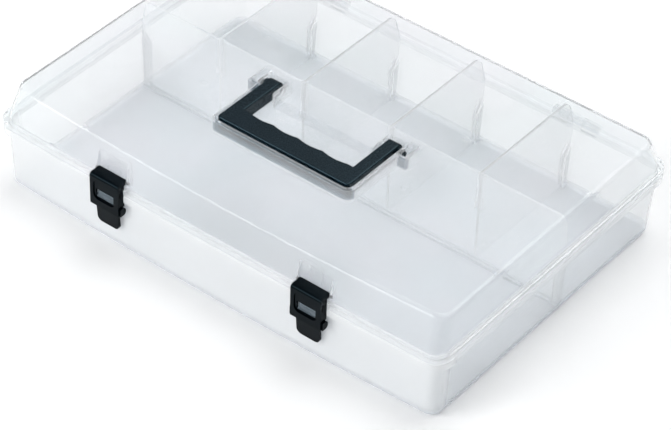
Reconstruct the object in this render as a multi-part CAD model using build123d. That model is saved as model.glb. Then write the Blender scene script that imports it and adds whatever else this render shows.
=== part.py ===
from build123d import *
import os

os.makedirs("parts", exist_ok=True)

# Rim: the plan outline that the tray flange and the lid flange share
rim_length = 380.0
rim_width = 259.0
rim_bow = 2.0
rim_corner = 13.0
least_corner = 2.0
flange_reach = 3.7
flange_thickness = 2.0
flange_edge_radius = 0.8
skirt_wall = 1.8

# Tray
tray_height = 51.0
tray_skirt_height = 5.4
tray_wall = 2.0
tray_floor = 2.2
foot_side_draft = 2.0
foot_front_draft = 1.5
foot_back_draft = 3.8
foot_bow = 4.6
foot_corner = 9.0
foot_edge_radius = 5.0
floor_edge_radius = 3.0
lip_height = 2.8
lip_wall = 1.2

# Lid
flange_gap = 0.3
lid_flange_height = 4.9
lid_height = 23.8
lid_wall = 1.8
crown_side_slope = 3.2
crown_front_slope = 10.0
crown_back_slope = 8.0
crown_bow = 7.1
crown_corner = 11.0
crown_edge_radius = 4.0

# Handle
handle_length = 112.4
handle_front = 54.2
grip_width = 17.5
arm_width = 9.8
handle_depth = 10.5
handle_pivot_back = 0.5
handle_corner = 2.5
handle_edge_radius = 1.0
handle_wall = 2.2
handle_rib_pitch = 12.0
handle_rib_thickness = 1.2
scallop_count = 4
scallop_pitch = 21.0
scallop_depth = 1.5
scallop_crest_radius = 3.0
handle_pin_diameter = 5.0
handle_boss_diameter = 8.0

# Recess of the lid that takes the handle
recess_side_gap = 2.2
recess_floor_gap = 0.3
recess_front_gap = 2.2
recess_back_gap = 2.25
recess_corner = 5.0
tongue_front = 12.3
tongue_side_gap = 2.4
tongue_corner = 3.0
handle_proud = 1.0
ear_thickness = 2.4
pin_pocket_length = 5.2
pin_pocket_front = 6.0
pin_pocket_back = 9.5
pin_reach = 0.5
boss_gap = 0.3
running_clearance = 0.08

# Small marks of the lid's top
nub_spread = 172.4
nub_front = 32.6
nub_back = 35.0
nub_diameter = 5.5
nub_height = 1.0
dimple_diameter = 2.6
gate_back = 8.0

# Latches
latch_spread = 172.6
latch_width = 25.0
latch_flange_gap = 1.1
latch_plate = 2.4
latch_rise = 3.3
latch_drop = 11.8
latch_depth = 6.4
latch_edge_radius = 2.6
arm_thickness = 2.6
cheek_thickness = 2.2
hook_depth = 6.5
hook_height = 6.2
hook_radius = 2.6
hook_overhang = 1.2
hook_gap = 0.7
latch_pivot_setback = 5.7
latch_bar_diameter = 3.6
latch_pin_diameter = 2.0
latch_pin_clearance = 0.05
latch_pin_reach = 1.8
window_width = 15.5
window_height = 7.5
window_lift = 6.4
panel_width = 19.2
panel_height = 16.3
panel_drop = 4.0
panel_depth = 0.8
panel_corner = 4.5
tail_width = 19.0
tail_length = 15.9
tail_corner = 4.0
tail_thickness = 2.2
tail_setback = 2.4
tail_lean = 1.3

# Latch seats on the lid and the tray
pocket_side_gap = 0.4
pocket_depth = 2.6
pocket_rise = 12.5
pocket_corner = 3.0
pocket_rib_spread = 10.6
pocket_rib_thickness = 1.2
pocket_rib_height = 0.5
pocket_floor_gap = 0.3
cheek_gap = 0.4
cheek_side_gap = 2.0
catch_width = 18.6
catch_reach = 3.4
catch_drop = 5.2
wedge_width = 14.4
wedge_reach = 2.4
wedge_tip_rise = 0.8
wedge_height = 6.8

# Hinges
hinge_spread = 220.0
hinge_back = 4.0
hinge_drop = 0.5
knuckle_diameter = 7.2
knuckle_length = 12.0
knuckle_gap = 0.4
hinge_pin_diameter = 3.0
hinge_pin_clearance = 0.05

# Dividers
long_divider_back = 15.0
long_divider_thickness = 2.0
cross_divider_count = 4
cross_divider_pitch = 75.0
cross_divider_thickness = 1.8
divider_top_clearance = 0.7
divider_clearance = 0.3
divider_lid_clearance = 0.6
divider_corner = 6.0
divider_foot_corner = 3.3
cross_divider_corner = 10.0
foot_notch = 2.2

# Channels that hold the dividers
channel_clearance = 0.3
tray_rib_thickness = 1.4
tray_rib_reach = 5.0
tray_rib_slant = 9.0
back_rib_drop = 13.0
side_rib_drop = 1.0
seat_rib_height = 2.0
seat_rib_thickness = 1.2
divider_rib_thickness = 1.2
divider_rib_reach = 3.0
divider_rib_drop = 3.0
divider_rib_short = 1.5
bulb_height = 5.0
bulb_thickness = 2.2

# Levels and lines that follow from the sizes above
tray_skirt_bottom = tray_height - tray_skirt_height
lip_top = tray_height + lip_height
lid_bottom = tray_height + flange_gap
lid_flange_top = lid_bottom + lid_flange_height
lid_ledge = lid_flange_top - lid_wall
lid_top = lid_flange_top + lid_height
handle_top = lid_top + handle_proud
handle_bottom = handle_top - handle_depth
handle_pivot_level = handle_top - handle_depth / 2
recess_floor = handle_bottom - recess_floor_gap
recess_half = handle_length / 2 + recess_side_gap
ear_outside = recess_half + ear_thickness
tongue_half = handle_length / 2 - arm_width - tongue_side_gap
latch_top = lid_flange_top + latch_rise
latch_bottom = tray_skirt_bottom - latch_drop
window_bottom = latch_bottom + window_lift
tail_bottom = latch_bottom - tail_length
latch_pivot_level = latch_top - latch_bar_diameter / 2
pocket_floor = latch_top - latch_bar_diameter - pocket_floor_gap
pocket_top = latch_top + pocket_rise
catch_bottom = tray_skirt_bottom - catch_drop
hook_top = catch_bottom - hook_gap
hinge_axis_back = rim_width / 2 + hinge_back
hinge_axis_level = tray_height - hinge_drop
divider_bottom = tray_floor + divider_clearance
divider_top = lid_top - lid_wall - divider_top_clearance
back_rib_top = tray_height - back_rib_drop
side_rib_top = tray_height - side_rib_drop
divider_rib_bottom = tray_height - divider_rib_drop
divider_rib_top = divider_top - divider_rib_short
long_divider_face = long_divider_back + long_divider_thickness / 2
slot_long = long_divider_thickness + 2 * channel_clearance
slot_cross = cross_divider_thickness + 2 * channel_clearance

# An outline is half length, front, back, bow of the front edge and corner radius
rim = (rim_length / 2, rim_width / 2, rim_width / 2, rim_bow, rim_corner)


def inset(outline, distance):
    """The same outline drawn in all round."""
    half, front, back, bow, corner = outline
    smaller = max(corner - distance, least_corner)
    return (half - distance, front - distance, back - distance, bow, smaller)


def between(low, high, share):
    """The outline a share of the way from the low one to the high one."""
    return tuple(a + (b - a) * share for a, b in zip(low, high))


def sheet(outline, level):
    """A flat face with the outline at a level: three straight sides and a bowed front."""
    half, front, back, bow, corner = outline
    left = (-half, -front)
    right = (half, -front)
    bowed = ThreePointArc(left, (0, -front - bow), right)
    straight = Polyline(right, (half, back), (-half, back), left)
    plan = make_face(bowed.edges() + straight.edges())
    return Pos(0, 0, level) * fillet(plan.vertices(), corner)


def slab(outline, low, high):
    """An upright block with the outline between two levels."""
    return extrude(sheet(outline, low), high - low)


def frustum(outline_at, low, high):
    """A block whose outline changes evenly between two levels."""
    return loft([sheet(outline_at(low), low), sheet(outline_at(high), high)], ruled=True)


def plate_across(points, middle, thickness):
    """A plate seen from the side, with its outline in Y and Z, centred at an X."""
    side = Plane.YZ.offset(middle) * Polygon(*points, align=None)
    return extrude(side, thickness / 2, both=True)


def plate_along(points, middle, thickness):
    """A plate seen from the front, with its outline in X and Z, centred at a Y."""
    front = Plane.XZ.offset(-middle) * Polygon(*points, align=None)
    return extrude(front, thickness / 2, both=True)


def rod(middle, back, level, radius, length):
    """A round bar along X."""
    return Pos(middle, back, level) * Rot(0, 90, 0) * Cylinder(radius, length)


def block(x_range, y_range, z_range):
    """A straight block between two values on each axis."""
    sizes = [high - low for low, high in (x_range, y_range, z_range)]
    corner = (x_range[0], y_range[0], z_range[0])
    return Pos(*corner) * Box(*sizes, align=(Align.MIN, Align.MIN, Align.MIN))


tray_top_outline = inset(rim, flange_reach)
tray_foot_outline = (
    tray_top_outline[0] - foot_side_draft,
    tray_top_outline[1] - foot_front_draft,
    tray_top_outline[2] - foot_back_draft,
    foot_bow,
    foot_corner,
)
crown_outline = (
    tray_top_outline[0] - crown_side_slope,
    tray_top_outline[1] - crown_front_slope,
    tray_top_outline[2] - crown_back_slope,
    crown_bow,
    crown_corner,
)


def tray_outside(level):
    return between(tray_foot_outline, tray_top_outline, level / tray_height)


def tray_inside(level):
    return inset(tray_outside(level), tray_wall)


def lid_outside(level):
    share = (level - lid_flange_top) / lid_height
    return between(tray_top_outline, crown_outline, max(share, 0))


def lid_inside(level):
    return inset(lid_outside(level), lid_wall)


def front_at(outline, x):
    """How far the bowed front edge stands from the centre line at an X."""
    half, front, back, bow, corner = outline
    return front + bow * (1 - (x / half) ** 2)


latch_flange_front = front_at(rim, latch_spread / 2)
latch_face = latch_flange_front + latch_flange_gap + latch_plate
latch_pivot_front = latch_flange_front - latch_pivot_setback


def edge_ring(block_solid):
    """The edges round the top of a block."""
    return block_solid.faces().sort_by(Axis.Z)[-1].outer_wire().edges()


def channel_places():
    """The X of each cross divider, evenly spaced about the middle."""
    first = -cross_divider_pitch * (cross_divider_count - 1) / 2
    return [first + cross_divider_pitch * i for i in range(cross_divider_count)]


def tray_back_ribs():
    """Pairs of upright ribs on the back wall, with slanted tops."""
    wall_low = tray_inside(tray_floor)[2]
    wall_high = tray_inside(back_rib_top)[2]
    sunk = tray_wall / 2
    reach = wall_low - tray_rib_reach
    points = [
        (wall_low + sunk, tray_floor - sunk),
        (reach, tray_floor - sunk),
        (reach, back_rib_top - tray_rib_slant),
        (wall_high, back_rib_top),
        (wall_high + sunk, back_rib_top),
    ]
    spread = slot_cross / 2 + tray_rib_thickness / 2
    places = [x + side * spread for x in channel_places() for side in (-1, 1)]
    return [plate_across(points, x, tray_rib_thickness) for x in places]


def tray_side_ribs():
    """Pairs of upright ribs on both side walls for the long divider."""
    wall_low = tray_inside(tray_floor)[0]
    wall_high = tray_inside(side_rib_top)[0]
    sunk = tray_wall / 2
    reach = wall_low - tray_rib_reach
    points = [
        (wall_low + sunk, tray_floor - sunk),
        (reach, tray_floor - sunk),
        (reach, side_rib_top - tray_rib_slant),
        (wall_high, side_rib_top),
        (wall_high + sunk, side_rib_top),
    ]
    spread = slot_long / 2 + tray_rib_thickness / 2
    ribs = []
    for side in (-1, 1):
        rib = plate_along(points, long_divider_back + side * spread, tray_rib_thickness)
        ribs += [rib, mirror(rib, Plane.YZ)]
    return ribs


def tray_seat_ribs():
    """Two low ribs on the floor, before and behind the foot of the long divider."""
    reach = tray_inside(tray_floor)[0] - tray_rib_reach
    sunk = tray_floor / 2
    ribs = []
    for side in (-1, 1):
        middle = long_divider_back + side * (slot_long / 2 + seat_rib_thickness / 2)
        y_range = (middle - seat_rib_thickness / 2, middle + seat_rib_thickness / 2)
        ribs.append(block((-reach, reach), y_range, (tray_floor - sunk, tray_floor + seat_rib_height)))
    return ribs


def cheek_slots(x, low, high):
    """Two cuts in a flange where the cheeks of a latch lie."""
    depth = latch_face - latch_depth - cheek_gap
    inner = latch_width / 2 - cheek_thickness - pocket_side_gap
    outer = latch_width / 2 + cheek_side_gap
    past = rim_width / 2 + rim_bow + cheek_gap
    slot = block((inner, outer), (-past, -depth), (low, high))
    return [Pos(x, 0, 0) * slot, Pos(x, 0, 0) * mirror(slot, Plane.YZ)]


def latch_places():
    return [-latch_spread / 2, latch_spread / 2]


def tray_catch(x):
    """The ledge under the flange that the latch hooks beneath."""
    wall = front_at(tray_outside(catch_bottom), x)
    reach = wall + catch_reach
    sunk = tray_wall / 2
    top = tray_height - flange_thickness / 2
    points = [
        (-wall + sunk, catch_bottom),
        (-reach + sunk, catch_bottom),
        (-reach, catch_bottom + sunk),
        (-reach, top),
        (-wall + sunk, top),
    ]
    return plate_across(points, x, catch_width)


def tray_wedge(x):
    """The ramp on the catch that fills the latch's window, with an underside that rises to its tip."""
    root = front_at(tray_outside(catch_bottom), x) - tray_wall / 2
    tip_level = catch_bottom + wedge_tip_rise
    ramp_top = tip_level + wedge_height
    points = [
        (-root, catch_bottom),
        (-root - catch_reach, catch_bottom),
        (-latch_flange_front - wedge_reach, tip_level),
        (-latch_flange_front, ramp_top),
        (-root, ramp_top),
    ]
    return plate_across(points, x, wedge_width)


def knuckle(x, length):
    return rod(x, hinge_axis_back, hinge_axis_level, knuckle_diameter / 2, length)


def hinge_places():
    return [-hinge_spread / 2, hinge_spread / 2]


def tray_knuckles(x):
    """The two outer knuckles of a hinge, each on a web behind the tray flange."""
    pieces = []
    for side in (-1, 1):
        middle = x + side * (knuckle_length + knuckle_gap)
        x_range = (middle - knuckle_length / 2, middle + knuckle_length / 2)
        y_range = (rim_width / 2 - skirt_wall / 2, hinge_axis_back)
        low = hinge_axis_level - knuckle_diameter / 2
        pieces += [knuckle(middle, knuckle_length), block(x_range, y_range, (low, hinge_axis_level))]
    return pieces


def hinge_bore(x):
    """The bore through all three knuckles of a hinge."""
    length = 3 * knuckle_length + 4 * knuckle_gap
    radius = hinge_pin_diameter / 2 + hinge_pin_clearance
    return rod(x, hinge_axis_back, hinge_axis_level, radius, length)


def make_tray():
    """The tub: drafted walls, a flange with a skirt, a lip, ribs, catches and knuckles."""
    outer = frustum(tray_outside, 0, tray_height)
    outer = fillet(outer.faces().sort_by(Axis.Z)[0].outer_wire().edges(), foot_edge_radius)
    flange = slab(rim, tray_skirt_bottom, tray_height)
    flange = fillet(edge_ring(flange), flange_edge_radius)
    under_flange = tray_height - flange_thickness
    flange -= slab(inset(rim, skirt_wall), tray_skirt_bottom, under_flange)
    lip_outline = inset(tray_top_outline, tray_wall - lip_wall)
    tray = outer + flange + slab(lip_outline, tray_height, lip_top)
    hollow = frustum(tray_inside, tray_floor, tray_height)
    hollow = fillet(hollow.faces().sort_by(Axis.Z)[0].outer_wire().edges(), floor_edge_radius)
    tray -= hollow + slab(tray_inside(tray_height), tray_height, lip_top)
    tray += tray_back_ribs() + tray_side_ribs() + tray_seat_ribs()
    for x in latch_places():
        tray -= cheek_slots(x, tray_skirt_bottom, tray_height)
        tray += [tray_catch(x), tray_wedge(x)]
    for x in hinge_places():
        tray += tray_knuckles(x)
        tray -= hinge_bore(x)
    return tray


def recess_plan():
    """The U of the handle recess: a rectangle less the tongue that fills the grip."""
    front = handle_front + recess_front_gap
    back = handle_depth / 2 - handle_pivot_back + recess_back_gap
    room = Pos(0, (back - front) / 2) * Rectangle(2 * recess_half, front + back)
    room = fillet(room.vertices().group_by(Axis.Y)[0], recess_corner)
    tongue_length = tongue_front + 2 * back
    tongue = Pos(0, tongue_length / 2 - tongue_front) * Rectangle(2 * tongue_half, tongue_length)
    tongue = fillet(tongue.vertices().group_by(Axis.Y)[0], tongue_corner)
    return room - tongue


def pin_pocket_plan():
    """The small pocket beyond an ear, where the end of a handle pin lies."""
    depth = pin_pocket_front + pin_pocket_back
    middle = (pin_pocket_back - pin_pocket_front) / 2
    return Pos(ear_outside + pin_pocket_length / 2, middle) * Rectangle(pin_pocket_length, depth)


def recess_tub():
    """What the recess adds inside the lid and what it takes away."""
    pockets = [pin_pocket_plan(), mirror(pin_pocket_plan(), Plane.YZ)]
    plans = [recess_plan()] + pockets
    walls = [offset(plan, lid_wall, kind=Kind.INTERSECTION) for plan in plans]
    tub_bottom = recess_floor - lid_wall
    tub_height = lid_top - lid_wall / 2 - tub_bottom
    tub = [extrude(Pos(0, 0, tub_bottom) * wall, tub_height) for wall in walls]
    room_height = lid_top + nub_height - recess_floor
    room = [extrude(Pos(0, 0, recess_floor) * plan, room_height) for plan in plans]
    return tub, room


def latch_pocket(x):
    """What a latch pocket adds inside the lid's front wall and what it takes away."""
    back = latch_pivot_front - pocket_depth
    half = latch_width / 2 + pocket_side_gap
    past = rim_width / 2
    middle = (pocket_floor + pocket_top) / 2
    front = Plane.XZ * Pos(x, middle) * Rectangle(2 * half, pocket_top - pocket_floor)
    top_corners = front.vertices().group_by(Axis.Z)[-1]
    shape = fillet(top_corners, pocket_corner)
    low_half = half + lid_wall
    shell_height = pocket_top - lid_ledge + lid_wall
    shell_middle = lid_ledge + shell_height / 2
    shell = Plane.XZ * Pos(x, shell_middle) * Rectangle(2 * low_half, shell_height)
    shell = fillet(shell.vertices().group_by(Axis.Z)[-1], pocket_corner + lid_wall)
    added = extrude(Pos(0, -back + lid_wall, 0) * shell, past)
    taken = extrude(Pos(0, -back, 0) * shape, past)
    return added, taken


def pocket_ribs(x):
    """Two upright ribs on the back of a latch pocket, above the latch's bar."""
    back = latch_pivot_front - pocket_depth
    low = latch_pivot_level + latch_bar_diameter / 2 + cheek_gap
    y_range = (-back - pocket_rib_height, -back + lid_wall / 2)
    half = pocket_rib_thickness / 2
    ribs = []
    for side in (-1, 1):
        middle = x + side * pocket_rib_spread / 2
        ribs.append(block((middle - half, middle + half), y_range, (low, pocket_top)))
    return ribs


def lid_knuckle(x):
    """The centre knuckle of a hinge, on a web behind the lid flange."""
    x_range = (x - knuckle_length / 2, x + knuckle_length / 2)
    y_range = (rim_width / 2 - skirt_wall / 2, hinge_axis_back)
    high = hinge_axis_level + knuckle_diameter / 2
    return [knuckle(x, knuckle_length), block(x_range, y_range, (lid_bottom, high))]


def nub(x, y):
    """A low ring on the lid's top."""
    ring = Cylinder(nub_diameter / 2, 2 * nub_height) - Cylinder(dimple_diameter / 2, 2 * nub_height)
    return Pos(x, y, lid_top) * ring


def make_lid():
    """The lid: flange, drafted crown, handle recess with ears, latch pockets and knuckles."""
    flange = slab(rim, lid_bottom, lid_flange_top)
    flange = fillet(edge_ring(flange), flange_edge_radius)
    flange -= slab(inset(rim, skirt_wall), lid_bottom, lid_ledge)
    crown = frustum(lid_outside, lid_flange_top, lid_top)
    crown = fillet(edge_ring(crown), crown_edge_radius)
    hollow = frustum(lid_inside, lid_flange_top, lid_top - lid_wall)
    hollow = fillet(edge_ring(hollow), crown_edge_radius - lid_wall)
    hollow += slab(lid_inside(lid_flange_top), lid_ledge, lid_flange_top)
    envelope = crown + slab(tray_top_outline, lid_ledge, lid_flange_top)
    tub, room = recess_tub()
    pockets = [latch_pocket(x) for x in latch_places()]
    shells = [added & envelope for added, taken in pockets]
    lid = flange + crown - hollow + tub + shells
    lid -= room + [taken for added, taken in pockets]
    for x in latch_places():
        lid += [rib & envelope for rib in pocket_ribs(x)]
        lid -= cheek_slots(x, lid_bottom, lid_flange_top)
        pin_length = latch_width + 2 * latch_pin_reach + 2 * pocket_side_gap
        radius = latch_pin_diameter / 2 + latch_pin_clearance
        lid -= rod(x, -latch_pivot_front, latch_pivot_level, radius, pin_length)
    for x in hinge_places():
        lid += lid_knuckle(x)
        lid -= hinge_bore(x)
    hole_radius = handle_pin_diameter / 2 + running_clearance
    lid -= rod(0, -handle_pivot_back, handle_pivot_level, hole_radius, 2 * ear_outside + pin_pocket_length)
    for x in (-nub_spread / 2, nub_spread / 2):
        lid += [nub(x, -nub_front), nub(x, nub_back)]
    return lid - Pos(0, gate_back, lid_top) * Sphere(dimple_diameter / 2)


def handle_plan():
    """The U of the handle from above, with finger scallops along the grip."""
    back = handle_depth / 2 - handle_pivot_back
    inner_half = handle_length / 2 - arm_width
    outer = Pos(0, (back - handle_front) / 2) * Rectangle(handle_length, handle_front + back)
    outer = fillet(outer.vertices().group_by(Axis.Y)[0], handle_corner)
    opening = back + handle_front - grip_width
    inner = Pos(0, back - opening / 2) * Rectangle(2 * inner_half, opening)
    radius = (scallop_pitch ** 2 / 4 + scallop_depth ** 2) / (2 * scallop_depth)
    middle = -handle_front + grip_width - scallop_depth + radius
    first = -scallop_pitch * (scallop_count - 1) / 2
    scallops = [Pos(first + scallop_pitch * i, middle) * Circle(radius) for i in range(scallop_count)]
    room = Pos(0, middle - radius) * Rectangle(scallop_pitch * scallop_count, 4 * scallop_depth)
    scallop_row = Sketch() + scallops
    plan = outer - inner - (scallop_row & room)
    crest_line = -handle_front + grip_width
    crests = [
        v for v in plan.vertices()
        if abs(v.Y - crest_line) < scallop_depth / 4 and abs(v.X) < scallop_pitch * (scallop_count - 1) / 2
    ]
    return fillet(crests, scallop_crest_radius)


def handle_side():
    """The handle from the side: a straight bar rounded about its pivot."""
    bar = Pos(-(handle_front + handle_pivot_back) / 2, handle_pivot_level) * Rectangle(
        handle_front - handle_pivot_back, handle_depth
    )
    return bar + Pos(-handle_pivot_back, handle_pivot_level) * Circle(handle_depth / 2)


def handle_hollows():
    """The pockets under the grip and the arms, between thin cross ribs."""
    half = handle_length / 2 - handle_wall
    top = handle_top - handle_wall
    clear = grip_width - scallop_depth - handle_wall
    cells = []
    rib = handle_rib_thickness / 2
    count = round(2 * half / handle_rib_pitch)
    pitch = 2 * half / count
    for i in range(count):
        left = -half + pitch * i
        x_range = (left + rib, left + pitch - rib)
        y_range = (-handle_front + handle_wall, -handle_front + clear)
        cells.append(block(x_range, y_range, (handle_bottom, top)))
    arm_inner = handle_length / 2 - arm_width + handle_wall
    arm_start = -handle_front + grip_width + handle_wall
    arm_end = -handle_pivot_back - handle_depth
    arm = block((arm_inner, half), (arm_start, arm_end), (handle_bottom, top))
    return cells + [arm, mirror(arm, Plane.YZ)]


def make_handle():
    """The handle: grip and arms, hollow beneath, with a boss and a pin at each arm end."""
    plan = extrude(Pos(0, 0, handle_bottom) * handle_plan(), handle_depth)
    side = extrude(Plane.YZ * handle_side(), handle_length, both=True)
    handle = plan & side
    top_edges = handle.faces().sort_by(Axis.Z)[-1].outer_wire().edges()
    handle = fillet(top_edges, handle_edge_radius)
    handle -= handle_hollows()
    boss_reach = recess_side_gap - boss_gap
    pin_end = ear_outside + pin_reach
    inner = handle_length / 2 - arm_width / 2
    for side in (-1, 1):
        boss_end = handle_length / 2 + boss_reach
        boss = rod(side * (inner + boss_end) / 2, -handle_pivot_back, handle_pivot_level,
                   handle_boss_diameter / 2, boss_end - inner)
        pin = rod(side * (inner + pin_end) / 2, -handle_pivot_back, handle_pivot_level,
                  handle_pin_diameter / 2, pin_end - inner)
        handle += [boss, pin]
    return handle


def latch_frame():
    """The latch from the side: face, top arm and cheeks."""
    face = -latch_face
    arm_bottom = latch_top - arm_thickness
    cheek = face + latch_depth
    inside = face + latch_plate
    points = [
        (face, latch_bottom),
        (face, latch_top),
        (-latch_pivot_front, latch_top),
        (-latch_pivot_front, arm_bottom),
        (cheek, arm_bottom),
        (cheek, hook_top),
        (inside, hook_top),
        (inside, latch_bottom),
    ]
    return plate_across(points, 0, latch_width)


def latch_hook():
    """The hook at the foot: a bar behind the face, rounded at its back and wider than the face."""
    front = -latch_face + latch_plate / 2
    back = -latch_face + hook_depth
    middle = Pos((front + back) / 2, hook_top - hook_height / 2)
    side = middle * Rectangle(back - front, hook_height)
    side = fillet(side.vertices().group_by(Axis.X)[-1], hook_radius)
    return extrude(Plane.YZ * side, latch_width / 2 + hook_overhang, both=True)


def latch_tail():
    """The finger tail: narrower than the face, set back, rounded at its foot and leaning inward."""
    start = latch_bottom + panel_depth
    outer = -latch_face + tail_setback
    points = [
        (outer + tail_thickness, hook_top),
        (outer, hook_top),
        (outer, start),
        (outer + tail_lean, tail_bottom),
        (outer + tail_lean + tail_thickness, tail_bottom),
        (outer + tail_thickness, start),
    ]
    tail = plate_across(points, 0, tail_width)
    middle = (hook_top + tail_bottom) / 2
    face = Pos(0, middle) * Rectangle(tail_width, hook_top - tail_bottom)
    face = fillet(face.vertices().group_by(Axis.Y)[0], tail_corner)
    return tail & extrude(Plane.XZ * face, rim_width)


def make_latch():
    """One latch about X = 0: a clip that hangs from its bar and hooks under the catch."""
    frame = latch_frame()
    front_top = frame.edges().filter_by(Axis.X).sort_by(lambda e: e.center().Z - e.center().Y)[-1]
    frame = fillet(front_top, latch_edge_radius)
    bar = rod(0, -latch_pivot_front, latch_pivot_level, latch_bar_diameter / 2, latch_width)
    inner_half = latch_width / 2 - cheek_thickness
    behind = -latch_face + latch_plate
    under_arm = latch_top - arm_thickness
    throat = block((-inner_half, inner_half), (behind, behind + hook_depth), (hook_top, under_arm))
    latch = frame - throat + latch_hook() + latch_tail() + bar
    panel_middle = latch_top - panel_drop - panel_height / 2
    panel = Plane.XZ * Pos(0, panel_middle) * RectangleRounded(panel_width, panel_height, panel_corner)
    latch -= extrude(Pos(0, -latch_face + panel_depth, 0) * panel, 2 * panel_depth)
    window_middle = window_bottom + window_height / 2
    window = Plane.XZ * Pos(0, window_middle) * Rectangle(window_width, window_height)
    latch -= extrude(Pos(0, behind + panel_depth, 0) * window, 2 * latch_plate)
    pin_length = latch_width + 2 * pocket_side_gap + 2 * latch_pin_reach - 4 * latch_pin_clearance
    return latch + rod(0, -latch_pivot_front, latch_pivot_level, latch_pin_diameter / 2, pin_length)


def long_divider_panel():
    """The long divider's sheet, which follows the tray's and then the lid's side walls."""
    low = tray_inside(divider_bottom)[0] - divider_clearance
    shoulder = tray_inside(tray_height)[0] - divider_clearance
    high = lid_inside(divider_top)[0] - divider_lid_clearance
    points = [
        (-low, divider_bottom),
        (low, divider_bottom),
        (shoulder, lip_top),
        (high, divider_top),
        (-high, divider_top),
        (-shoulder, lip_top),
    ]
    shape = Plane.XZ.offset(-long_divider_back) * Polygon(*points, align=None)
    shape = fillet(shape.vertices().group_by(Axis.Z)[-1], divider_corner)
    shape = fillet(shape.vertices().group_by(Axis.Z)[0], divider_foot_corner)
    return extrude(shape, long_divider_thickness / 2, both=True)


def long_divider_ribs(x):
    """A pair of upright ribs on the back of the long divider, thicker at their feet."""
    y_range = (long_divider_back, long_divider_face + divider_rib_reach)
    pieces = []
    for side in (-1, 1):
        middle = x + side * (slot_cross / 2 + divider_rib_thickness / 2)
        half = divider_rib_thickness / 2
        x_range = (middle - half, middle + half)
        pieces.append(block(x_range, y_range, (divider_rib_bottom, divider_rib_top)))
        bulb_middle = x + side * (slot_cross / 2 + bulb_thickness / 2)
        bulb_range = (bulb_middle - bulb_thickness / 2, bulb_middle + bulb_thickness / 2)
        bulb_top = divider_rib_bottom + bulb_height / 2
        pieces.append(block(bulb_range, y_range, (bulb_top - bulb_height, bulb_top)))
    return pieces


def make_long_divider():
    divider = long_divider_panel()
    for x in channel_places():
        divider += long_divider_ribs(x)
    return divider


def make_cross_divider(x):
    """A cross divider, which follows the tray's and then the lid's back wall."""
    front = long_divider_face + divider_clearance
    low = tray_inside(divider_bottom)[2] - divider_clearance
    shoulder = tray_inside(tray_height)[2] - divider_clearance
    high = lid_inside(divider_top)[2] - divider_lid_clearance
    notch_top = divider_bottom + foot_notch
    points = [
        (front + foot_notch, divider_bottom),
        (low, divider_bottom),
        (shoulder, lip_top),
        (high, divider_top),
        (front, divider_top),
        (front, notch_top),
        (front + foot_notch, notch_top),
    ]
    shape = Plane.YZ.offset(x) * Polygon(*points, align=None)
    shape = fillet(shape.vertices().group_by(Axis.Z)[-1].sort_by(Axis.Y)[-1], cross_divider_corner)
    shape = fillet(shape.vertices().group_by(Axis.Z)[0].sort_by(Axis.Y)[-1], divider_foot_corner)
    return extrude(shape, cross_divider_thickness / 2, both=True)


def make_hinge_pin(x):
    length = 3 * knuckle_length + 2 * knuckle_gap
    return rod(x, hinge_axis_back, hinge_axis_level, hinge_pin_diameter / 2, length)


def save(solid, name):
    export_step(solid, f"parts/{name}.step")


save(make_tray(), "base_tray")
save(make_lid(), "lid")
save(make_handle(), "handle")
latch = make_latch()
for place, name in zip(latch_places(), ("latch_left", "latch_right")):
    save(Pos(place, 0, 0) * latch, name)
save(make_long_divider(), "long_divider")
for number, place in enumerate(channel_places(), start=1):
    save(make_cross_divider(place), f"cross_divider_{number}")
for place, name in zip(hinge_places(), ("hinge_pin_left", "hinge_pin_right")):
    save(make_hinge_pin(place), name)
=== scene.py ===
# %% [markdown]
# # A clear tool box with dark fittings
# The box is two thin shells of clear, slightly milky polypropylene, with loose divider sheets
# inside, and a handle and two latches of dark plastic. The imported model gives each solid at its
# real place and size. This script gives them their finishes, a camera, a floor and studio light.

# %% Load the fixed frame
import bpy
import math
from mathutils import Matrix, Vector

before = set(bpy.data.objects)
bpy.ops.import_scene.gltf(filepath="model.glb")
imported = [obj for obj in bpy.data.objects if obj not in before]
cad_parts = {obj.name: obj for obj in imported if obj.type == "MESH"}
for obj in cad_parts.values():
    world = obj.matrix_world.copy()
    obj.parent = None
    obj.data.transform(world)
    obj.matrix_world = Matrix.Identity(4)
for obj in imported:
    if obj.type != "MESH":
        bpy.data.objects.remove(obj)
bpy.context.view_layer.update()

print("solids:", sorted(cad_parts))

# %% [markdown]
# ## The camera
# The photograph looks down on the front right corner of the box from about 2 m, with a long
# lens and a small tilt to one side. A camera's own axes are columns of its matrix: right, up and
# back. They are worked out here from the two angles of the view and the tilt.

# %% Camera
SEEN_FROM = Vector((0.92723, -1.20724, 1.28280))
TURN = math.radians(37.37)
RISE = math.radians(40.348)
TILT = math.radians(1.972)
LENS_MM = 154.84
SENSOR_MM = 36
NEAREST, FARTHEST = 0.05, 50


def camera_axes(turn, rise, tilt):
    """Right, up and back of the view: level axes first, then turned about the line of sight."""
    turn_cos, turn_sin = math.cos(turn), math.sin(turn)
    rise_cos, rise_sin = math.cos(rise), math.sin(rise)
    level_right = Vector((turn_cos, turn_sin, 0))
    level_up = Vector((-turn_sin * rise_sin, turn_cos * rise_sin, rise_cos))
    back = Vector((turn_sin * rise_cos, -turn_cos * rise_cos, rise_sin))
    right = level_right * math.cos(tilt) + level_up * math.sin(tilt)
    up = level_up * math.cos(tilt) - level_right * math.sin(tilt)
    return right, up, back


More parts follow.
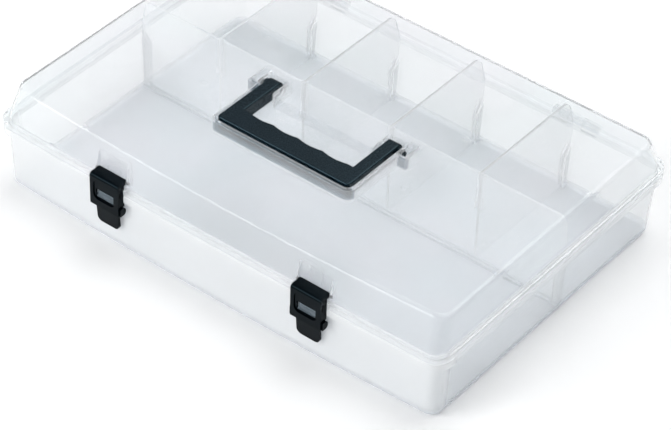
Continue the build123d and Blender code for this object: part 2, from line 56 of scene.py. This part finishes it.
camera = bpy.data.objects.new("camera", bpy.data.cameras.new("camera"))
bpy.context.collection.objects.link(camera)
columns = camera_axes(TURN, RISE, TILT)
camera.matrix_world = Matrix.Translation(SEEN_FROM) @ Matrix(columns).transposed().to_4x4()
camera.data.sensor_width = SENSOR_MM
camera.data.lens = LENS_MM
camera.data.clip_start = NEAREST
camera.data.clip_end = FARTHEST
bpy.context.scene.camera = camera
print("camera at", tuple(round(v, 3) for v in SEEN_FROM), "lens", LENS_MM)

# %% [markdown]
# ## Small helpers for node materials
# Every finish of a solid is a Principled shader with a little noise on the object's own
# coordinates. These helpers make the shader, add nodes, link them, and bring noise into a range.

# %% Material helpers
NOISE_LOW, NOISE_HIGH = 0.3, 0.7


def new_finish(name, **numbers):
    """A material with one Principled shader, whose named sockets get plain values."""
    material = bpy.data.materials.new(name)
    material.use_nodes = True
    shader = material.node_tree.nodes["Principled BSDF"]
    for socket, value in numbers.items():
        shader.inputs[socket.replace("_", " ")].default_value = value
    return material, material.node_tree, shader


def add_node(tree, kind, inputs=(), **settings):
    """A node with its settings and its unlinked inputs filled in."""
    node = tree.nodes.new(kind)
    for key, value in settings.items():
        setattr(node, key, value)
    for key, value in dict(inputs).items():
        node.inputs[key].default_value = value
    return node


def feed(tree, node, **values):
    """Links values to the named inputs of a node."""
    for socket, value in values.items():
        tree.links.new(value, node.inputs[socket.replace("_", " ")])


def noise_on_object(tree, scale, detail):
    """Noise that is fixed to the solid, sized in turns per metre."""
    place = add_node(tree, "ShaderNodeTexCoord")
    noise = add_node(tree, "ShaderNodeTexNoise", {"Scale": scale, "Detail": detail})
    feed(tree, noise, Vector=place.outputs["Object"])
    return noise.outputs["Fac"]


def map_range(tree, value, low, high, low_from=NOISE_LOW, high_from=NOISE_HIGH):
    """The value carried from one range to another, by default from the middle range of noise."""
    ends = {"From Min": low_from, "From Max": high_from, "To Min": low, "To Max": high}
    node = add_node(tree, "ShaderNodeMapRange", ends)
    feed(tree, node, Value=value)
    return node.outputs["Result"]


def bump(tree, height, distance, strength):
    """A bump from a height, with its depth in metres."""
    node = add_node(tree, "ShaderNodeBump", {"Distance": distance, "Strength": strength})
    feed(tree, node, Height=height)
    return node.outputs["Normal"]


def combine(tree, operation, one, other):
    """Two values put together by a math operation."""
    node = add_node(tree, "ShaderNodeMath", operation=operation)
    tree.links.new(one, node.inputs[0])
    tree.links.new(other, node.inputs[1])
    return node.outputs["Value"]


def ray_is(tree, *kinds):
    """One for a ray of any of the kinds named, and nothing for other rays."""
    path = add_node(tree, "ShaderNodeLightPath")
    share = path.outputs[f"Is {kinds[0]} Ray"]
    for kind in kinds[1:]:
        share = combine(tree, "MAXIMUM", share, path.outputs[f"Is {kind} Ray"])
    return share


print("noise is read between", NOISE_LOW, "and", NOISE_HIGH)

# %% [markdown]
# ## Clear polypropylene
# Natural polypropylene is milky: a wall lets part of what lies behind it through and scatters the
# rest as a soft white. The transmission weight is the clear share, and what is left is the white.
# With its real index of refraction, 1.49, these thin walls looked like cut glass, so a lower index
# is used, and a thin coat gives back the gloss that the lower index takes away.
# Shadow rays and diffuse rays meet a lower alpha, so that light reaches the inside of the box.
# The tray's value is the highest of the three, because its walls throw the soft shadow around it.

# %% Clear plastic
WATER = (0.985, 0.994, 1.0)
INDEX = 1.12
COAT_WEIGHT, COAT_ROUGHNESS = 0.35, 0.08
FROST_SCALE, FROST_DETAIL = 420, 3
FROST_DEPTH, FROST_STRENGTH = 0.00004, 0.07
FROST_SMOOTHEST, FROST_ROUGHEST = 0.8, 1.25
TRAY_CLEAR = 0.82
LID_CLEAR = 0.86
SHEET_CLEAR = 0.79


def clear_finish(name, clear_share, shade, roughness):
    """Milky plastic: part transmission, part white scatter, with a gloss coat and faint frost."""
    material, tree, shader = new_finish(
        name, Base_Color=(*WATER, 1), IOR=INDEX, Transmission_Weight=clear_share,
        Coat_Weight=COAT_WEIGHT, Coat_Roughness=COAT_ROUGHNESS,
    )
    frost = noise_on_object(tree, FROST_SCALE, FROST_DETAIL)
    smoothest, roughest = roughness * FROST_SMOOTHEST, roughness * FROST_ROUGHEST
    feed(
        tree, shader,
        Roughness=map_range(tree, frost, smoothest, roughest),
        Normal=bump(tree, frost, FROST_DEPTH, FROST_STRENGTH),
        Alpha=map_range(tree, ray_is(tree, "Shadow", "Diffuse"), 1, shade, 0, 1),
    )
    return material


CLEAR_TRAY = clear_finish("clear_tray", TRAY_CLEAR, shade=0.86, roughness=0.09)
CLEAR_LID = clear_finish("clear_lid", LID_CLEAR, shade=0.05, roughness=0.05)
CLEAR_SHEET = clear_finish("clear_sheet", SHEET_CLEAR, shade=0.05, roughness=0.06)
print("clear finishes:", CLEAR_TRAY.name, CLEAR_LID.name, CLEAR_SHEET.name)

# %% [markdown]
# ## Places where the clear plastic differs
# A place on a solid is picked by its own coordinates, which stay with it when it moves. Each edge
# below is one coordinate that goes from one value to another over a short way, and edges
# multiplied together make a region. All places are in metres.

# %% Helpers for places
def along(tree, axis, low, high, low_from, high_from):
    """A value that goes from one number to another over a short way along an axis of the solid.
    The axis off_centre is the distance to the middle of the length, on either side."""
    place = add_node(tree, "ShaderNodeTexCoord")
    parts = add_node(tree, "ShaderNodeSeparateXYZ")
    feed(tree, parts, Vector=place.outputs["Object"])
    if axis == "off_centre":
        away = add_node(tree, "ShaderNodeMath", operation="ABSOLUTE")
        tree.links.new(parts.outputs["X"], away.inputs[0])
        return map_range(tree, away.outputs["Value"], low, high, low_from, high_from)
    return map_range(tree, parts.outputs[axis], low, high, low_from, high_from)


def inside(tree, *edges):
    """One where every edge in the list is passed, and nothing elsewhere."""
    share = along(tree, *edges[0])
    for edge in edges[1:]:
        share = combine(tree, "MULTIPLY", share, along(tree, *edge))
    return share


def blend(tree, share, at_none, at_full):
    """A colour between two others, each given as three numbers or as a colour socket."""
    node = add_node(tree, "ShaderNodeMix", data_type="RGBA")
    feed(tree, node, Factor=share)
    for name, colour in (("A", at_none), ("B", at_full)):
        if isinstance(colour, tuple):
            node.inputs[name].default_value = (*colour, 1)
        else:
            tree.links.new(colour, node.inputs[name])
    return node.outputs["Result"]


print("an edge is an axis, the values before and after it, and where it starts and ends")

# %% [markdown]
# The tray's floor is its milkiest place, and a little greyer than the walls. The grey is painted
# shade, for the shadow that the box throws on the ground beneath it. The front wall is milkier
# than the other walls. The wedges of the two catches stand out past the front of the rim, behind
# the latch windows, and are tinted dark grey as painted shade and painted reflection: the latch
# shades them, and its dark inner sides show mirrored in them.

# %% Tray
# Painted shade: the floor colour stands in for the box's shadow on the ground under it, and the
# wedge colour for the latch's shade and its dark inner sides mirrored in the wedges.
TRAY_FLOOR_PAINTED_SHADE = (0.91, 0.945, 0.985)
WEDGE_PAINTED_SHADE = (0.13, 0.17, 0.20)
ABOVE_FLOOR = (0.002, 0.006)
FLOOR_SHARE = 0.60
BEHIND_FRONT = (-0.120, -0.108)
FRONT_CLEAR = 0.55
WEDGES = (("Y", 1, 0, -0.1317, -0.1313), ("off_centre", 0, 1, 0.070, 0.072))

tray_tree = CLEAR_TRAY.node_tree
wedge_painted_shade_mask = inside(tray_tree, *WEDGES)
above_floor = along(tray_tree, "Z", 0, 1, *ABOVE_FLOOR)
wall_colour = blend(tray_tree, above_floor, TRAY_FLOOR_PAINTED_SHADE, WATER)
floor_share = along(tray_tree, "Z", FLOOR_SHARE, 1, *ABOVE_FLOOR)
front_clear = along(tray_tree, "Y", FRONT_CLEAR, TRAY_CLEAR, *BEHIND_FRONT)
feed(
    tray_tree, tray_tree.nodes["Principled BSDF"],
    # Painted shade on the tray floor, and painted shade and painted reflection on the catch
    # wedges.
    Base_Color=blend(tray_tree, wedge_painted_shade_mask, wall_colour, WEDGE_PAINTED_SHADE),
    Transmission_Weight=combine(tray_tree, "MULTIPLY", floor_share, front_clear),
)
print("tray: floor, front wall and catch wedges differ from the walls")

# %% [markdown]
# A grey band runs around the handle, where its dark sides and its shadow show through the outer
# walls of the recess. Those walls get a grey tint here, which is painted shade for that shadow and
# those dark sides. They lie between the recess floor and the top of the crown, inside one
# rectangle and outside a smaller one. Slow noise gives the large sheet of the lid faint cloudy
# patches, some a little more milky and more violet than others.

# %% Lid
# Painted shade: a grey that stands in for the handle's shadow and its dark sides seen through the
# recess walls.
RECESS_PAINTED_SHADE = (0.13, 0.19, 0.24)
VIOLET = (0.988, 0.987, 1.0)
TEAL = (0.968, 0.992, 0.996)
CLOUD_SCALE, CLOUD_DETAIL = 14, 3
CLEAREST, MILKIEST = 0.89, 0.81
RECESS = (
    ("Z", 0, 1, 0.0703, 0.0706),
    ("Z", 1, 0, 0.0776, 0.0779),
    ("off_centre", 1, 0, 0.0685, 0.0690),
    ("Y", 0, 1, -0.0595, -0.0590),
    ("Y", 1, 0, -0.0060, -0.0020),
)
RECESS_MIDDLE = (("off_centre", 1, 0, 0.0605, 0.0610), ("Y", 0, 1, -0.0525, -0.0520))

lid_tree = CLEAR_LID.node_tree
cloud = map_range(lid_tree, noise_on_object(lid_tree, CLOUD_SCALE, CLOUD_DETAIL), 0, 1)
patches = blend(lid_tree, cloud, TEAL, VIOLET)
outside_middle = map_range(lid_tree, inside(lid_tree, *RECESS_MIDDLE), 1, 0, 0, 1)
# The region of the recess walls that gets the painted shade.
recess_painted_shade_mask = combine(lid_tree, "MULTIPLY", inside(lid_tree, *RECESS), outside_middle)
feed(
    lid_tree, lid_tree.nodes["Principled BSDF"],
    Base_Color=blend(lid_tree, recess_painted_shade_mask, patches, RECESS_PAINTED_SHADE),
    Transmission_Weight=map_range(lid_tree, cloud, CLEAREST, MILKIEST, 0, 1),
)
print("lid: cloudy patches and recess walls tinted", RECESS_PAINTED_SHADE)

# %% [markdown]
# ## Dark fittings
# The handle and the latches are moulded in a nearly black plastic. Most of what one sees of the
# handle is its satin sheen, so the blue of the photograph goes into the tint of the sheen. The
# latches get far less sheen, because their upright faces mirror the pale floor.

# %% Dark plastic
SHEEN_TINT = (0.5, 0.85, 1, 1)
TONE_SCALE, TONE_DETAIL = 40, 3
DARKEST, LIGHTEST = 0.8, 1.2
GRAIN_SCALE, GRAIN_DETAIL = 2600, 2
GRAIN_DEPTH, GRAIN_STRENGTH = 0.00006, 0.35
GRAIN_SMOOTHEST, GRAIN_ROUGHEST = 0.85, 1.15


def dark_finish(name, colour, roughness, gloss):
    """Blue-black satin plastic with a fine moulded grain and a slow change of tone."""
    material, tree, shader = new_finish(name, Specular_IOR_Level=gloss, Specular_Tint=SHEEN_TINT)
    ramp = add_node(tree, "ShaderNodeValToRGB")
    feed(tree, ramp, Fac=noise_on_object(tree, TONE_SCALE, TONE_DETAIL))
    stops = ramp.color_ramp.elements
    for stop, place, factor in ((0, NOISE_LOW, DARKEST), (1, NOISE_HIGH, LIGHTEST)):
        stops[stop].position = place
        stops[stop].color = (*[part * factor for part in colour], 1)
    grain = noise_on_object(tree, GRAIN_SCALE, GRAIN_DETAIL)
    smoothest, roughest = roughness * GRAIN_SMOOTHEST, roughness * GRAIN_ROUGHEST
    feed(
        tree, shader,
        Base_Color=ramp.outputs["Color"],
        Roughness=map_range(tree, grain, smoothest, roughest),
        Normal=bump(tree, grain, GRAIN_DEPTH, GRAIN_STRENGTH),
    )
    return material


DARK_HANDLE = dark_finish("dark_handle", (0.001, 0.004, 0.008), roughness=0.27, gloss=0.42)
DARK_LATCH = dark_finish("dark_latch", (0.0003, 0.0012, 0.0025), roughness=0.24, gloss=0.08)
print("dark finishes:", DARK_HANDLE.name, DARK_LATCH.name)

# %% [markdown]
# ## Hinge pins
# Two plain steel rods. Drawn wire has faint lines along its length, made by stretching the noise.

# %% Steel
WIRE_COLOUR = (0.62, 0.63, 0.65, 1)
LINES_PER_METRE = (60, 3000, 3000)
LINE_DETAIL = 2
WIRE_SMOOTHEST, WIRE_ROUGHEST = 0.22, 0.38

STEEL, steel_tree, steel_shader = new_finish("pin_steel", Base_Color=WIRE_COLOUR, Metallic=1.0)
steel_place = add_node(steel_tree, "ShaderNodeTexCoord")
stretch = add_node(steel_tree, "ShaderNodeMapping", {"Scale": LINES_PER_METRE})
lines = add_node(steel_tree, "ShaderNodeTexNoise", {"Scale": 1, "Detail": LINE_DETAIL})
feed(steel_tree, stretch, Vector=steel_place.outputs["Object"])
feed(steel_tree, lines, Vector=stretch.outputs["Vector"])
wire_roughness = map_range(steel_tree, lines.outputs["Fac"], WIRE_SMOOTHEST, WIRE_ROUGHEST)
feed(steel_tree, steel_shader, Roughness=wire_roughness)
print("steel finish:", STEEL.name)

# %% Put the finishes on the solids
FINISHES = {
    "base_tray": CLEAR_TRAY,
    "lid": CLEAR_LID,
    "long_divider": CLEAR_SHEET,
    "cross_divider_1": CLEAR_SHEET,
    "cross_divider_2": CLEAR_SHEET,
    "cross_divider_3": CLEAR_SHEET,
    "cross_divider_4": CLEAR_SHEET,
    "handle": DARK_HANDLE,
    "latch_left": DARK_LATCH,
    "latch_right": DARK_LATCH,
    "hinge_pin_left": STEEL,
    "hinge_pin_right": STEEL,
}
for node, finish in FINISHES.items():
    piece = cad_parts[node]
    piece.data.materials.clear()
    piece.data.materials.append(finish)
print("finished solids:", len(FINISHES))

# %% [markdown]
# ## Floor and light
# The box stands on a plain pale floor that keeps its soft shadow. A wide lamp high behind the box
# lights its inside and throws the shadow forward. A second one at the front left lights the front
# wall, and the world fills the rest. Together they give a level surface about as much light as
# makes a colour render as it is written. The background's white comes from the floor: from its own
# colour, and from a small lift that the camera, mirror reflections and rays through the plastic
# meet, but not the diffuse rays that carry light to matt surfaces. So the shadow stays.

# %% Floor
FLOOR_HALF = 6.0
FLOOR_LEVEL = -0.0005
FLOOR_COLOUR = (0.985, 0.985, 0.985, 1)
FLOOR_ROUGHNESS = 0.8
FLOOR_LIFT = 0.08
CORNERS = ((-1, -1), (1, -1), (1, 1), (-1, 1))

sheet = bpy.data.meshes.new("floor")
corners = [(x * FLOOR_HALF, y * FLOOR_HALF, FLOOR_LEVEL) for x, y in CORNERS]
sheet.from_pydata(corners, [], [(0, 1, 2, 3)])
floor = bpy.data.objects.new("floor", sheet)
bpy.context.collection.objects.link(floor)
floor_finish, floor_tree, floor_shader = new_finish(
    "floor_white", Base_Color=FLOOR_COLOUR, Roughness=FLOOR_ROUGHNESS, Emission_Color=(1, 1, 1, 1)
)
shown = ray_is(floor_tree, "Camera", "Glossy", "Transmission")
feed(floor_tree, floor_shader, Emission_Strength=map_range(floor_tree, shown, 0, FLOOR_LIFT, 0, 1))
floor.data.materials.append(floor_finish)
print("floor", 2 * FLOOR_HALF, "m wide, lift", FLOOR_LIFT)

# %% World and lamps
WORLD_COLOUR = (0.955, 0.978, 1.0, 1)
WORLD_STRENGTH = 0.42
AIM = Vector((0, 0, 0.04))

world = bpy.data.worlds.new("studio")
bpy.context.scene.world = world
world.use_nodes = True
background = world.node_tree.nodes["Background"]
background.inputs["Color"].default_value = WORLD_COLOUR
background.inputs["Strength"].default_value = WORLD_STRENGTH


def lamp(name, place, size, watts):
    """A square soft lamp that points at the middle of the box."""
    data = bpy.data.lights.new(name, "AREA")
    data.shape = "SQUARE"
    data.size = size
    data.energy = watts
    source = bpy.data.objects.new(name, data)
    bpy.context.collection.objects.link(source)
    facing = (AIM - Vector(place)).to_track_quat("-Z", "Y")
    source.matrix_world = Matrix.Translation(place) @ facing.to_matrix().to_4x4()
    print("lamp", name, "at", place, "with", watts, "W")


lamp("top", (0.1, 1.05, 2.3), size=2.2, watts=36)
lamp("front_left", (-1.3, -2.2, 1.3), size=1.6, watts=42)

# %% [markdown]
# ## Last settings
# A ray crosses many thin walls of the box, so the bounce limits are high.

# %% Last settings
scene = bpy.context.scene
scene.view_settings.view_transform = "Standard"
scene.cycles.transparent_max_bounces = 48
scene.cycles.transmission_bounces = 24
scene.cycles.max_bounces = 32
print("bounces:", scene.cycles.max_bounces)
